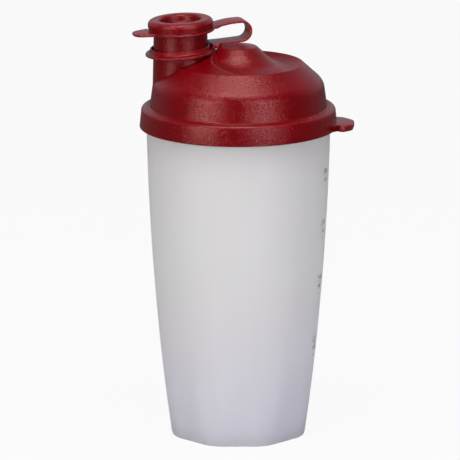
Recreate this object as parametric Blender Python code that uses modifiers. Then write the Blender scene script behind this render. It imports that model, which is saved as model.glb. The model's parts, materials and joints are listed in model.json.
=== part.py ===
"""A mixing cup: a tall tapered cup with an eight-sided foot, a press-on lid with a domed top and a drinking
spout, a bladed mixing wheel that clips up inside the lid, and a plug cap tied to the spout by its own
strap and ring. The cup stands on the ground and its axis is vertical. The spout is towards -X."""

import math

import bmesh
import bpy
from mathutils import Matrix, Vector

mm = 0.001

# Cup
cup_height = 155.6 * mm
cup_top_radius = 43.05 * mm
cup_foot_radius = 32.55 * mm
cup_taper_power_share = 1.7
cup_wall = 1.6 * mm
cup_floor = 2.0 * mm
cup_inner_round = 5.0 * mm
cup_rim_overhang = 1.1 * mm
cup_rim_depth = 4.6 * mm
cup_rim_round = 0.9 * mm
cup_bead_round = 0.45 * mm
facet_count = 8
facet_depth = 1.35 * mm
facet_height = 62.0 * mm
facet_fade_power_share = 0.5
flats_reach_share = 1.25
foot_round = 1.2 * mm
foot_ring_width = 3.4 * mm
foot_recess = 1.2 * mm

# Lid: band, ledge and dome
band_depth = 9.9 * mm
band_flare = 0.9 * mm
band_wall = 1.8 * mm
band_round = 1.6 * mm
band_foot_round = 0.4 * mm
ledge_width = 3.9 * mm
ledge_fall = 0.8 * mm
ledge_thickness = 1.5 * mm
lid_wall = 1.7 * mm
dome_foot_lean = 1.6 * mm
shoulder_height = 11.6 * mm
shoulder_round = 8.0 * mm
crest_inset = 9.7 * mm
crest_height = 20.4 * mm
crest_round = 0.6 * mm
saddle_radius = 15.3 * mm
saddle_height = 24.9 * mm
knob_share = 0.811
knob_height = 29.1 * mm
knob_crown = 0.9 * mm
knob_flank = 2.6 * mm
knob_round = 1.2 * mm
trough_depth = 3.2 * mm
dome_step = 3.6 * mm
room_step = 5.6 * mm
trough_rise_share = 0.45
trough_fall_share = 0.55
trough_full_angle = math.radians(86)
trough_end_angle = math.radians(158)
seal_depth = 6.4 * mm
seal_wall = 1.4 * mm

# Pull tab on the band
tab_reach = 7.9 * mm
tab_turn = math.radians(-6)
tab_width = 23.0 * mm
tab_side_reach = 2.0 * mm
tab_side_round = 7.0 * mm
tab_tip_width = 10.0 * mm
tab_tip_round = 6.0 * mm
tab_thickness = 3.1 * mm

# Spout
spout_foot_share = 0.32
spout_top_share = 0.94
spout_wall = 1.35 * mm
spout_height = 39.3 * mm
spout_inset = 1.2 * mm
spout_bead = 0.35 * mm
spout_bead_depth = 1.6 * mm
spout_lip_round = 0.4 * mm
spout_bead_round = 0.2 * mm

# Plug cap
cap_turn = math.radians(15)
cap_tilt = math.radians(3)
cap_height = 6.0 * mm
cap_wall = 2.0 * mm
cap_roof = 1.1 * mm
cap_step = 0.3 * mm
cap_step_inset = 2.0 * mm
cap_shoulder_round = 2.6 * mm
flange_overhang = 0.3 * mm
flange_thickness = 0.9 * mm
plug_taper = 0.5 * mm
plug_round = 0.8 * mm
dish_wall = 1.35 * mm
dish_edge_round = 0.7 * mm
dish_floor = 1.2 * mm
dish_round = 3.2 * mm
cap_tab_reach = 7.5 * mm
cap_tab_width = 14.6 * mm
cap_tab_tip_width = 10.3 * mm
cap_tab_thickness = 1.3 * mm
cap_tab_round = 6.4 * mm

# Strap and the ring round the spout
strap_width = 10.0 * mm
strap_thickness = 1.2 * mm
strap_rise = math.radians(4.6)
strap_crown_radius = 40.5 * mm
strap_meet_height = 0.8 * mm
strap_past_knob = 1.7 * mm
strap_root_reach = 1.5 * mm
strap_step = 1.2 * mm
ring_width = 2.95 * mm
ring_height = 3.2 * mm
ring_edge = 0.9 * mm
ring_land = 0.5 * mm
ring_round = 0.3 * mm
ring_tilt = math.radians(4.5)
ring_sink = 4.05 * mm

# Mixing wheel
wheel_height = 7.4 * mm
wheel_wall = 1.5 * mm
wheel_round = 0.5 * mm
wheel_band_radius = 22.0 * mm
wheel_band_height = 4.0 * mm
hub_radius = 6.5 * mm
hub_height = 6.8 * mm
hub_round = 1.6 * mm
blade_count = 12
blade_height = 5.2 * mm
blade_thickness = 1.2 * mm
blade_lean = 3.4 * mm
blade_sweep = math.radians(34)
blade_spans = 5

# Clearances between pieces, and how far a cutter runs past what it cuts
running_gap = 0.4 * mm
seat_gap = 0.3 * mm
plug_gap = 0.6 * mm
skirt_gap = 0.55 * mm
overrun = 2.0 * mm

# How finely rounds and curves are divided
around = 48
around_small = 36
round_pieces = 3
fine_pieces = 5
plain_pieces = 2
chamfer_pieces = 1
wall_rows = 12
flat_rows = 7
inside_rows = 6
crown_pieces = 5
most_rounded_share = 0.45
weld_distance = 0.003 * mm
sharp_angle = math.radians(35)

# Places worked out from the sizes above
lid_ledge = cup_height + seat_gap + ledge_thickness
band_bottom = lid_ledge - band_depth
band_inner_radius = cup_top_radius + cup_rim_overhang + running_gap
band_bottom_radius = band_inner_radius + band_wall
band_top_radius = band_bottom_radius - band_flare
dome_foot_radius = band_top_radius - ledge_width
shoulder_radius = dome_foot_radius - dome_foot_lean
crest_radius = shoulder_radius - crest_inset
knob_top = lid_ledge + knob_height
seal_outer_radius = cup_top_radius - cup_wall - running_gap
seal_inner_radius = seal_outer_radius - seal_wall
spout_foot_radius = dome_foot_radius * spout_foot_share
spout_top_radius = spout_foot_radius * spout_top_share
spout_x = spout_foot_radius + spout_inset - dome_foot_radius
spout_top = lid_ledge + spout_height
bore_top_radius = spout_top_radius - spout_wall
bore_foot_radius = spout_foot_radius - spout_wall
lip_radius = spout_top_radius + spout_bead
plug_radius = bore_top_radius - plug_gap
skirt_radius = lip_radius + skirt_gap
cap_radius = skirt_radius + cap_wall
cap_lift = lip_radius * math.sin(cap_tilt) + seat_gap
cap_base = spout_top + cap_lift + cap_roof - cap_height
ring_inner_radius = spout_foot_radius + running_gap / 2
ring_outer_radius = ring_inner_radius + ring_width
ring_base = knob_top - ring_sink
knob_radius = (abs(spout_x) - ring_outer_radius) * knob_share
knob_foot_radius = knob_radius + knob_flank
tab_tip = band_bottom_radius + tab_reach
cap_tab_tip = cap_radius + cap_tab_reach
frame_shift = (tab_tip + spout_x - cap_tab_tip * math.cos(cap_turn)) / 2

# Centre line of the strap, in the upright plane that runs out from the spout's axis
strap_low = knob_top + seat_gap + strap_thickness / 2
strap_start = ring_inner_radius + strap_thickness / 2
strap_root = ring_outer_radius - ring_round
cap_root = skirt_radius + cap_wall / 2
bend_start = abs(spout_x) + strap_past_knob
bend_entry = Vector((bend_start, strap_low + strap_past_knob * math.sin(strap_rise)))
bend_angle = math.pi - strap_rise
strap_meet = cap_base + cap_radius * math.sin(cap_tilt) + strap_meet_height
strap_fall = strap_crown_radius - math.sqrt(strap_crown_radius ** 2 - (bend_start - cap_radius) ** 2)
strap_bend_radius = (strap_meet + strap_fall - bend_entry.y) / (1 + math.cos(strap_rise))
bend_centre = bend_entry + strap_bend_radius * Vector((-math.sin(strap_rise), math.cos(strap_rise)))
half_strap = strap_thickness / 2
hinge_angle = bend_angle / 2
hinge_gap_angle = seat_gap / 2 / (strap_bend_radius + half_strap)


# Scene and collections
def clear_scene():
    for thing in list(bpy.data.objects):
        bpy.data.objects.remove(thing, do_unlink=True)


def new_collection(name):
    collection = bpy.data.collections.new(name)
    bpy.context.scene.collection.children.link(collection)
    return collection


clear_scene()
parts = new_collection("mixing_cup")
cutters = new_collection("cutters")


def plastic(name, colour, roughness):
    material = bpy.data.materials.new(name)
    material.use_nodes = True
    shader = material.node_tree.nodes["Principled BSDF"]
    shader.inputs["Base Color"].default_value = (*colour, 1)
    shader.inputs["Roughness"].default_value = roughness
    shader.inputs["Metallic"].default_value = 0
    return material


# Outlines
def rounded_path(corners, closed=True, pieces=round_pieces):
    """Points through corners given as (x, z) or (x, z, radius), with each radius rounded off."""
    path = []
    count = len(corners)
    for index, corner in enumerate(corners):
        here = Vector(corner[:2])
        is_end = not closed and index in (0, count - 1)
        if len(corner) < 3 or is_end:
            path.append(here)
            continue
        back = Vector(corners[index - 1][:2]) - here
        ahead = Vector(corners[(index + 1) % count][:2]) - here
        half = back.angle(ahead) / 2
        longest = min(back.length, ahead.length) * most_rounded_share
        reach = min(corner[2] / math.tan(half), longest)
        radius = reach * math.tan(half)
        centre = here + (back.normalized() + ahead.normalized()).normalized() * radius / math.sin(half)
        start = here + back.normalized() * reach - centre
        end = here + ahead.normalized() * reach - centre
        for step in range(pieces + 1):
            share = step / pieces
            path.append(centre + (start * (1 - share) + end * share).normalized() * radius)
    return path


def with_steps(path, spacing):
    """The same path with points added so that no stretch is longer than the spacing."""
    stepped = [path[0]]
    for before, after in zip(path, path[1:]):
        pieces = max(1, math.ceil((after - before).length / spacing))
        stepped += [before.lerp(after, step / pieces) for step in range(1, pieces + 1)]
    return stepped


# Ways of making a solid
def new_object(name, data, collection):
    made = bpy.data.objects.new(name, data)
    collection.objects.link(made)
    if collection is cutters:
        made.hide_render = True
        made.display_type = "WIRE"
    return made


def bake(source, collection):
    """The object's finished mesh in place of the object and its modifiers."""
    bpy.context.view_layer.update()
    name = source.name
    finished = source.evaluated_get(bpy.context.evaluated_depsgraph_get())
    mesh = bpy.data.meshes.new_from_object(finished)
    place = source.matrix_world.copy()
    bpy.data.objects.remove(source, do_unlink=True)
    form = bmesh.new()
    form.from_mesh(mesh)
    bmesh.ops.remove_doubles(form, verts=form.verts, dist=weld_distance)
    form.to_mesh(mesh)
    form.free()
    baked = new_object(name, mesh, collection)
    baked.matrix_world = place
    return baked


def turned(name, outline, steps=around, collection=cutters, closed=False):
    """A solid turned about Z from an outline of (radius, height) that runs down its outer side."""
    edges = [(index, index + 1) for index in range(len(outline) - 1)]
    if closed:
        edges.append((len(outline) - 1, 0))
    mesh = bpy.data.meshes.new(name)
    mesh.from_pydata([(radius, 0, height) for radius, height in outline], edges, [])
    solid = new_object(name, mesh, collection)
    screw = solid.modifiers.new("turn", "SCREW")
    screw.steps = steps
    screw.render_steps = steps
    screw.use_merge_vertices = True
    screw.merge_threshold = weld_distance
    return bake(solid, collection)


def slab(name, outline, thickness, collection=cutters):
    """A flat outline in X and Y made into a slab, centred on Z = 0."""
    curve = bpy.data.curves.new(name, "CURVE")
    curve.dimensions = "2D"
    curve.fill_mode = "BOTH"
    curve.extrude = thickness / 2
    spline = curve.splines.new("POLY")
    spline.points.add(len(outline) - 1)
    for point, place in zip(spline.points, outline):
        point.co = (place[0], place[1], 0, 1)
    spline.use_cyclic_u = True
    return bake(new_object(name, curve, collection), collection)


def combine(target, other, operation):
    """Join, cut or keep the shared part of the target, with the other solid as the tool."""
    modifier = target.modifiers.new(other.name, "BOOLEAN")
    modifier.operation = operation
    modifier.solver = "EXACT"
    modifier.object = other


def finish(solid, material, origin=(0, 0, 0)):
    """Give a piece its material and smooth shading, and put its origin on its joint's axis."""
    solid = bake(solid, parts)
    place = Matrix.Translation(origin)
    solid.data.transform(place.inverted() @ solid.matrix_world)
    solid.matrix_world = place
    solid.data.materials.clear()
    solid.data.materials.append(material)
    solid.data.shade_smooth()
    solid.data.set_sharp_from_angle(angle=sharp_angle)
    return solid


# Cup
def cup_radius(height):
    share = 1 - min(1, height / cup_height)
    return cup_foot_radius + (cup_top_radius - cup_foot_radius) * (1 - share ** cup_taper_power_share)


def facet_distance(height):
    """How far a flat of the foot stands from the axis: inside the round wall up to the facet's height."""
    share = 1 - height / facet_height
    return cup_radius(height) - facet_depth * share * abs(share) ** facet_fade_power_share


def rows_between(low, high, rows):
    """Evenly spaced values from low to high, with the ends."""
    return [low + (high - low) * row / rows for row in range(rows + 1)]


def build_cup(material):
    rim_foot = cup_height - cup_rim_depth
    rim_radius = cup_top_radius + cup_rim_overhang
    heights = rows_between(rim_foot - cup_rim_overhang, 0, wall_rows)
    outline = [(0, cup_height)]
    outline += rounded_path([(0, cup_height), (rim_radius, cup_height, cup_rim_round),
                             (rim_radius, rim_foot, cup_bead_round),
                             (cup_radius(heights[0]), heights[0])], closed=False)[1:-1]
    outline += [(cup_radius(height), height) for height in heights[:-1]]
    outline += rounded_path([(cup_radius(heights[-2]), heights[-2]), (cup_foot_radius, 0, foot_round),
                             (0, 0)], closed=False)[1:]
    cup = turned("cup", outline)

    corner_share = 1 / math.cos(math.pi / facet_count)
    flats_top = facet_height * flats_reach_share
    heights = rows_between(flats_top, 0, flat_rows)
    flats = [(0, cup_height + overrun), (rim_radius * corner_share + overrun, cup_height + overrun),
             (rim_radius * corner_share + overrun, flats_top + overrun)]
    flats += [(facet_distance(height) * corner_share, height) for height in heights[:-1]]
    foot_corner = (facet_distance(0) * corner_share, 0, foot_round)
    flats += rounded_path([flats[-1], foot_corner, (0, 0)], closed=False)[1:]
    flat_sides = turned("cup_flats", flats, steps=facet_count)
    flat_sides.rotation_euler.z = math.pi / facet_count
    combine(cup, flat_sides, "INTERSECT")

    floor_top = foot_recess + cup_floor
    heights = rows_between(cup_height, floor_top + cup_inner_round, inside_rows)
    inside = [(0, cup_height + overrun), (cup_top_radius - cup_wall, cup_height + overrun)]
    inside += [(min(cup_radius(height), facet_distance(height)) - cup_wall, height) for height in heights]
    floor_radius = facet_distance(floor_top) - cup_wall
    inside += rounded_path([inside[-1], (floor_radius, floor_top, cup_inner_round),
                            (0, floor_top)], closed=False)[1:]
    combine(cup, turned("cup_inside", inside), "DIFFERENCE")

    recess_radius = facet_distance(0) - foot_ring_width
    recess = [(0, foot_recess), (recess_radius - foot_recess, foot_recess),
              (recess_radius + overrun, -overrun), (0, -overrun)]
    combine(cup, turned("foot_recess", recess), "DIFFERENCE")
    return finish(cup, material)


# Lid
def trough(radius, angle):
    """Depth of the C-shaped trough round the knob, which narrows and fades out towards the spout."""
    turn = abs(angle)
    fade = min(1, max(0, (turn - trough_full_angle) / (trough_end_angle - trough_full_angle)))
    width = (crest_radius - knob_foot_radius) * (1 - fade)
    share = (radius - knob_foot_radius) / width if width > 0 else 0
    if not 0 < share < 1:
        return 0
    rise = math.sin(math.pi / 2 * min(1, share / trough_rise_share))
    fall = 1 - (max(0, share - trough_fall_share) / (1 - trough_fall_share)) ** 2
    return trough_depth * rise * fall * math.cos(math.pi / 2 * fade)


def press_trough(solid):
    """Lower the top of a turned dome along the trough."""
    for vertex in solid.data.vertices:
        radius = math.hypot(vertex.co.x, vertex.co.y)
        if vertex.co.z > lid_ledge + shoulder_height:
            vertex.co.z -= trough(radius, math.atan2(vertex.co.y, vertex.co.x))


def dome_path(inset, pieces, spacing):
    """The dome from the knob's middle down to its foot, drawn in from the outer skin by the inset."""
    top = knob_top - inset
    path = [(0, top), (knob_radius - inset, top - knob_crown, knob_round),
            (knob_foot_radius - inset, lid_ledge + saddle_height + knob_crown - inset, knob_round),
            (saddle_radius - inset / 2, lid_ledge + saddle_height - inset),
            (crest_radius - inset / 2, lid_ledge + crest_height - inset, crest_round),
            (shoulder_radius - inset, lid_ledge + shoulder_height - inset / 2, shoulder_round),
            (dome_foot_radius - inset, lid_ledge)]
    return with_steps(rounded_path(path, closed=False, pieces=pieces), spacing)


def build_lid(material):
    outline = dome_path(0, round_pieces, dome_step)
    outline += rounded_path([(dome_foot_radius, lid_ledge),
                             (band_top_radius, lid_ledge - ledge_fall, band_round),
                             (band_bottom_radius, band_bottom, band_foot_round), (0, band_bottom)],
                            closed=False)[1:]
    lid = turned("lid", outline, steps=around)
    press_trough(lid)

    spout = [(0, spout_top), (lip_radius, spout_top, spout_lip_round),
             (lip_radius, spout_top - spout_bead_depth, spout_bead_round),
             (spout_top_radius, spout_top - spout_bead_depth - spout_bead * 2),
             (spout_foot_radius, lid_ledge), (0, lid_ledge)]
    spout = turned("spout_tube", rounded_path(spout, closed=False), steps=around_small)
    spout.location.x = spout_x
    combine(lid, spout, "UNION")

    tab_root = band_inner_radius - band_wall / 2
    tab_side = band_bottom_radius + tab_side_reach
    tab = [(tab_root, -tab_width / 2), (tab_side, -tab_width / 2, tab_side_round),
           (tab_tip, -tab_tip_width / 2, tab_tip_round), (tab_tip, tab_tip_width / 2, tab_tip_round),
           (tab_side, tab_width / 2, tab_side_round), (tab_root, tab_width / 2)]
    tab = slab("pull_tab", rounded_path(tab, pieces=fine_pieces), tab_thickness)
    tab.location.z = band_bottom + tab_thickness / 2
    tab.rotation_euler.z = tab_turn
    combine(lid, tab, "UNION")

    room = [(point.x, point.y) for point in dome_path(lid_wall, plain_pieces, room_step)[:-1]]
    room += [(seal_inner_radius, lid_ledge), (seal_inner_radius, band_bottom - overrun),
             (0, band_bottom - overrun)]
    room = turned("dome_room", room, steps=around)
    press_trough(room)
    combine(lid, room, "DIFFERENCE")

    bore = [(0, spout_top + overrun), (bore_top_radius, spout_top + overrun),
            (bore_top_radius, spout_top), (bore_foot_radius, lid_ledge + ledge_thickness),
            (0, lid_ledge + ledge_thickness)]
    bore = turned("spout_bore", bore, steps=around_small)
    bore.location.x = spout_x
    combine(lid, bore, "DIFFERENCE")

    channel_top = cup_height + seat_gap
    channel = [(band_inner_radius, channel_top), (band_inner_radius, band_bottom - overrun),
               (seal_outer_radius, band_bottom - overrun), (seal_outer_radius, channel_top)]
    combine(lid, turned("rim_channel", channel, closed=True), "DIFFERENCE")
    seal_bottom = channel_top - seal_depth
    trim_radius = seal_outer_radius + running_gap
    trim_inner_radius = seal_inner_radius - overrun
    seal_trim = [(trim_radius, seal_bottom), (trim_radius, band_bottom - overrun),
                 (trim_inner_radius, band_bottom - overrun), (trim_inner_radius, seal_bottom)]
    combine(lid, turned("seal_trim", seal_trim, closed=True), "DIFFERENCE")
    return finish(lid, material, (0, 0, cup_height))


# Mixing wheel
def build_wheel(material):
    outer = seal_inner_radius - running_gap
    top = cup_height + seat_gap
    middle = top - wheel_height / 2
    band = rounded_path([(outer, top, wheel_round), (outer, top - wheel_height, wheel_round),
                         (outer - wheel_wall, top - wheel_height, wheel_round),
                         (outer - wheel_wall, top, wheel_round)], pieces=chamfer_pieces)
    wheel = turned("mixing_wheel", band, closed=True)

    inner_band = [(wheel_band_radius + wheel_wall / 2, middle + wheel_band_height / 2),
                  (wheel_band_radius + wheel_wall / 2, middle - wheel_band_height / 2),
                  (wheel_band_radius - wheel_wall / 2, middle - wheel_band_height / 2),
                  (wheel_band_radius - wheel_wall / 2, middle + wheel_band_height / 2)]
    hub = rounded_path([(0, middle + hub_height / 2), (hub_radius, middle + hub_height / 2, hub_round),
                        (hub_radius, middle - hub_height / 2, hub_round), (0, middle - hub_height / 2)],
                       closed=False, pieces=plain_pieces)

    inner_end = hub_radius - wheel_wall
    outer_end = outer - wheel_wall / 2
    points = []
    faces = []
    for blade in range(blade_count):
        start = len(points)
        for span in range(blade_spans + 1):
            share = span / blade_spans
            radius = inner_end + (outer_end - inner_end) * share
            turn = 2 * math.pi * blade / blade_count + blade_sweep * share
            lean = blade_lean * math.sin(math.pi / 2 * min(1, radius / wheel_band_radius)) / radius / 2
            for side in (-1, 1):
                angle = turn + side * lean
                points.append((radius * math.cos(angle), radius * math.sin(angle),
                               middle + side * blade_height / 2))
        for span in range(blade_spans):
            corner = start + span * 2
            faces.append((corner, corner + 2, corner + 3, corner + 1))
    mesh = bpy.data.meshes.new("blades")
    mesh.from_pydata(points, [], faces)
    blades = new_object("blades", mesh, cutters)
    thicken = blades.modifiers.new("thickness", "SOLIDIFY")
    thicken.thickness = blade_thickness
    thicken.offset = 0

    combine(wheel, blades, "UNION")
    combine(wheel, turned("wheel_band", inner_band, closed=True), "UNION")
    combine(wheel, turned("wheel_hub", hub, steps=around_small), "UNION")
    return finish(wheel, material, (0, 0, cup_height))


# Strap: its centre line goes out from the ring over the knob, bends back and rises to the cap
def bend_point(angle, offset=0):
    """A point on the bend, this far round from its start, offset outwards from the centre line."""
    heading = strap_rise + angle
    return bend_centre + (strap_bend_radius + offset) * Vector((math.sin(heading), -math.cos(heading)))


def low_point(reach, offset=0):
    """A point on the lower run at this distance from the spout's axis, offset downwards."""
    back = (bend_start - reach) / math.cos(strap_rise)
    along = bend_entry - back * Vector((math.cos(strap_rise), math.sin(strap_rise)))
    return along + offset * Vector((math.sin(strap_rise), -math.cos(strap_rise)))


def crown_point(reach, offset=0):
    """A point on the upper run at this distance from the spout's axis, offset upwards."""
    top = bend_point(bend_angle)
    centre = top - Vector((0, strap_crown_radius))
    angle = math.asin((reach - top.x) / strap_crown_radius)
    return centre + (strap_crown_radius + offset) * Vector((math.sin(angle), math.cos(angle)))


def upright_slab(name, outline):
    """A slab as wide as the strap, from an outline in the strap's upright plane."""
    strip = slab(name, outline, strap_width)
    strip.data.transform(Matrix.Rotation(math.pi / 2, 4, "X"))
    return strip


def spout_frame():
    """The strap's upright plane: X runs out along the strap and the origin is on the spout's axis."""
    return Matrix.Translation((spout_x, 0, 0)) @ Matrix.Rotation(cap_turn, 4, "Z")


def arc_stretch(first, last, offset):
    pieces = max(2, math.ceil((last - first) * strap_bend_radius / strap_step))
    return [bend_point(first + (last - first) * step / pieces, offset) for step in range(pieces + 1)]


def build_ring(material):
    land = ring_inner_radius + ring_land
    outline = rounded_path([(land, ring_height, ring_round), (ring_outer_radius, ring_edge, ring_round),
                            (ring_outer_radius - ring_round, 0, ring_round), (ring_inner_radius, 0),
                            (ring_inner_radius, ring_height)], pieces=chamfer_pieces)
    ring = turned("retaining_ring", outline, steps=around_small, closed=True)
    ring.matrix_world = (spout_frame() @ Matrix.Translation((0, 0, ring_base))
                         @ Matrix.Rotation(-ring_tilt, 4, "Y"))

    last = hinge_angle - hinge_gap_angle
    root_bottom = ring_base + ring_outer_radius * math.sin(ring_tilt) + ring_edge
    outline = [low_point(strap_start, -half_strap), Vector((strap_start, root_bottom)),
               Vector((strap_root, root_bottom)), low_point(strap_root + strap_root_reach, half_strap),
               low_point((strap_root + bend_start) / 2, half_strap)]
    outline += arc_stretch(0, last, half_strap)
    outline += reversed(arc_stretch(0, last, -half_strap))
    run = upright_slab("lower_run", outline)
    run.matrix_world = spout_frame()
    combine(ring, run, "UNION")
    return finish(ring, material, (spout_x, 0, ring_base))


def cap_frame():
    """The cap's own frame: its base on Z = 0, tipped a little by the strap about the middle of the plug."""
    middle = cap_base + cap_height / 2
    return (spout_frame() @ Matrix.Translation((0, 0, middle)) @ Matrix.Rotation(-cap_tilt, 4, "Y")
            @ Matrix.Translation((0, 0, cap_base - middle)))


def build_cap(material):
    groove_roof = cap_height - cap_roof
    dish_radius = plug_radius - dish_wall
    rim = cap_radius - cap_step_inset
    flange = cap_radius + flange_overhang
    outline = [(0, dish_floor), (dish_radius - plug_taper, dish_floor, dish_round),
               (dish_radius, cap_height, dish_edge_round), (rim, cap_height, cap_step),
               (rim, cap_height - cap_step), (cap_radius, cap_height - cap_step, cap_shoulder_round),
               (cap_radius, flange_thickness, flange_overhang), (flange, flange_thickness, flange_overhang),
               (flange, 0, flange_overhang), (skirt_radius, 0, flange_overhang),
               (skirt_radius, groove_roof), (plug_radius, groove_roof),
               (plug_radius - plug_taper, 0, plug_round), (0, 0)]
    outline = rounded_path(outline, closed=False, pieces=plain_pieces)
    cap = turned("spout_cap", outline, steps=around_small)
    cap.matrix_world = cap_frame()

    tab = [(-cap_root, cap_tab_width / 2), (-cap_tab_tip, cap_tab_tip_width / 2, cap_tab_round),
           (-cap_tab_tip, -cap_tab_tip_width / 2, cap_tab_round), (-cap_root, -cap_tab_width / 2)]
    tab = slab("cap_tab", rounded_path(tab, pieces=fine_pieces), cap_tab_thickness)
    tab.data.transform(Matrix.Translation((0, 0, cap_tab_thickness / 2)))
    tab.matrix_world = cap_frame()
    combine(cap, tab, "UNION")

    first = hinge_angle + hinge_gap_angle
    reaches = rows_between(bend_point(bend_angle).x, cap_radius + strap_root_reach, crown_pieces)[1:]
    outline = arc_stretch(first, bend_angle, half_strap)
    outline += [crown_point(reach, half_strap) for reach in (*reaches, cap_root)]
    root_bottom = cap_base + cap_root * math.sin(cap_tilt) + flange_thickness / 2
    outline += [Vector((cap_root, root_bottom)), Vector((flange, root_bottom))]
    outline += [crown_point(reach, -half_strap) for reach in reversed(reaches)]
    outline += reversed(arc_stretch(first, bend_angle, -half_strap))
    run = upright_slab("upper_run", outline)
    run.matrix_world = spout_frame()
    combine(cap, run, "UNION")
    hinge = bend_point(hinge_angle, half_strap)
    return finish(cap, material, spout_frame() @ Vector((hinge.x, 0, hinge.y)))


def stand_on_frame(pieces):
    """Hang the pieces on an empty that brings the middle of the whole cup over the origin."""
    frame = bpy.data.objects.new("frame", None)
    parts.objects.link(frame)
    for piece in pieces:
        piece.parent = frame
    frame.location.x = -frame_shift


def main():
    milky = plastic("milky_plastic", (0.6, 0.6, 0.62), 0.35)
    crimson = plastic("crimson_plastic", (0.16, 0.004, 0.012), 0.42)
    pale = plastic("pale_plastic", (0.75, 0.75, 0.74), 0.4)
    stand_on_frame([build_cup(milky), build_lid(crimson), build_wheel(pale), build_ring(crimson),
                    build_cap(crimson)])


main()
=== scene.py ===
"""Looks of a mixing cup: a milky cup, a grained crimson lid with a plug cap on a strap, and a mixing wheel.

All sizes are in metres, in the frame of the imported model, which is loaded first and never moved."""

import json
import math
from contextlib import contextmanager

import bmesh
import bpy
from bpy.props import FloatProperty, FloatVectorProperty, IntProperty, PointerProperty
from mathutils import Matrix, Vector

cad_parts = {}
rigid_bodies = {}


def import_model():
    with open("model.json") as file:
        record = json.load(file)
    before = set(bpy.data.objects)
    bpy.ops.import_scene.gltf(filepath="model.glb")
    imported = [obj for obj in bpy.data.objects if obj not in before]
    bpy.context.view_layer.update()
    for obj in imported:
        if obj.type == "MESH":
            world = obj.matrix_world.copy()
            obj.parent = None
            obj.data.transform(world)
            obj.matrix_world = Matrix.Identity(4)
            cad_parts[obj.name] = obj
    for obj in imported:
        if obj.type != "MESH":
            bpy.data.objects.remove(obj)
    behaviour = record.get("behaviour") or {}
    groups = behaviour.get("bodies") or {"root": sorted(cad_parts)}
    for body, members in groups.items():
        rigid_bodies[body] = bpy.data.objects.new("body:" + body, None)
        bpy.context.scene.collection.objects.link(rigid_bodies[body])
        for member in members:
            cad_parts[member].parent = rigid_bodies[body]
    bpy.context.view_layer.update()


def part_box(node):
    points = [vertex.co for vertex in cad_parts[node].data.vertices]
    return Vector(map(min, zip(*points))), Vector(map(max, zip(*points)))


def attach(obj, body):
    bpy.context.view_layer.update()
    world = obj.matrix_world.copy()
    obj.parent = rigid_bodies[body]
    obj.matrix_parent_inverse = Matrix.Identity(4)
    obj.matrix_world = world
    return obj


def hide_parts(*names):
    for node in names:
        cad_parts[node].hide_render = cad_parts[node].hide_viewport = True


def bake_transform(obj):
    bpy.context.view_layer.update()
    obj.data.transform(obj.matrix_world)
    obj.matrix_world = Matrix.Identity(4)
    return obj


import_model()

bl_info = {
    "name": "Mixing cup",
    "version": (1, 0, 0),
    "blender": (4, 5, 0),
    "location": "3D View > Sidebar > Mixing cup",
    "description": "Builds the visible pieces of a mixing cup and a plain studio round it",
    "category": "Object",
}

mm = 0.001
cup_low, cup_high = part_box("cup")
lid_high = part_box("lid")[1]
axis_x = (cup_low.x + cup_high.x) / 2
cup_axis = Matrix.Translation((axis_x, 0, 0))
weld = 0.002 * mm
millilitre = 1e-6
cup_wall = 1.6 * mm
bead_overhang = 1.1 * mm

# Most of a stretch that the rounding of one corner takes up
corner_share = 0.45
# Span that holds nearly all values of a noise
noise_span = (0.3, 0.7)


# Properties
def length(name, size, description):
    return FloatProperty(name=name, description=description, default=size, min=0, unit="LENGTH",
                         subtype="DISTANCE", precision=5)


def angle(name, degrees, description):
    return FloatProperty(name=name, description=description, default=math.radians(degrees), unit="ROTATION",
                         subtype="ANGLE")


def colour(name, shade, description):
    return FloatVectorProperty(name=name, description=description, default=shade, size=3, min=0, max=1,
                               subtype="COLOR")


def share(name, value, description, most=1):
    return FloatProperty(name=name, description=description, default=value, min=0, max=most)


def count(name, value, description):
    return IntProperty(name=name, description=description, default=value, min=1)


def power(name, watts, description):
    return FloatProperty(name=name, description=description, default=watts, unit="POWER")


class CupSizes(bpy.types.PropertyGroup):
    height: length("Height", cup_high.z, "Height of the cup's rim")
    top_radius: length("Top radius", 43.05 * mm, "Radius of the wall at the rim, without the bead")
    foot_radius: length("Foot radius", 32.55 * mm, "Radius of the round wall at the foot")
    taper_power: share("Taper power", 1.7, "How the taper is spread over the height", 4)
    wall: length("Wall", cup_wall, "Thickness of the wall")
    floor: length("Floor", 2.0 * mm, "Thickness of the floor")
    floor_round: length("Floor round", 5.0 * mm, "Rounding between wall and floor inside")
    rim_overhang: length("Rim overhang", bead_overhang, "How far the rim's bead stands out")
    rim_depth: length("Rim depth", 4.6 * mm, "Height of the rim's bead")
    facets: count("Flats", 8, "Number of flats round the foot")
    facet_depth: length("Flat depth", 1.35 * mm, "How deep the flats cut at the foot")
    facet_height: length("Flat height", 62.0 * mm, "Height at which the flats fade out")
    facet_soft: length("Flat softness", 0.5 * mm, "Rounding of the edges between flats")
    foot_round: length("Foot round", 1.2 * mm, "Rounding of the foot's outer edge")
    foot_ring: length("Foot ring", 3.4 * mm, "Width of the ring that the cup stands on")
    foot_recess: length("Foot recess", 1.2 * mm, "Depth of the recess under the floor")
    around: count("Segments", 240, "Segments round the cup")


class ScaleSizes(bpy.types.PropertyGroup):
    turn: angle("Turn", -17, "Where the scale stands, counted from the pull tab")
    letter: length("Letter height", 3.9 * mm, "Height of a number's line")
    line: length("Line step", 3.5 * mm, "Distance between the lines of a mark")
    raised: length("Raised", 0.22 * mm, "How far the marks stand out of the wall")


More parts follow.
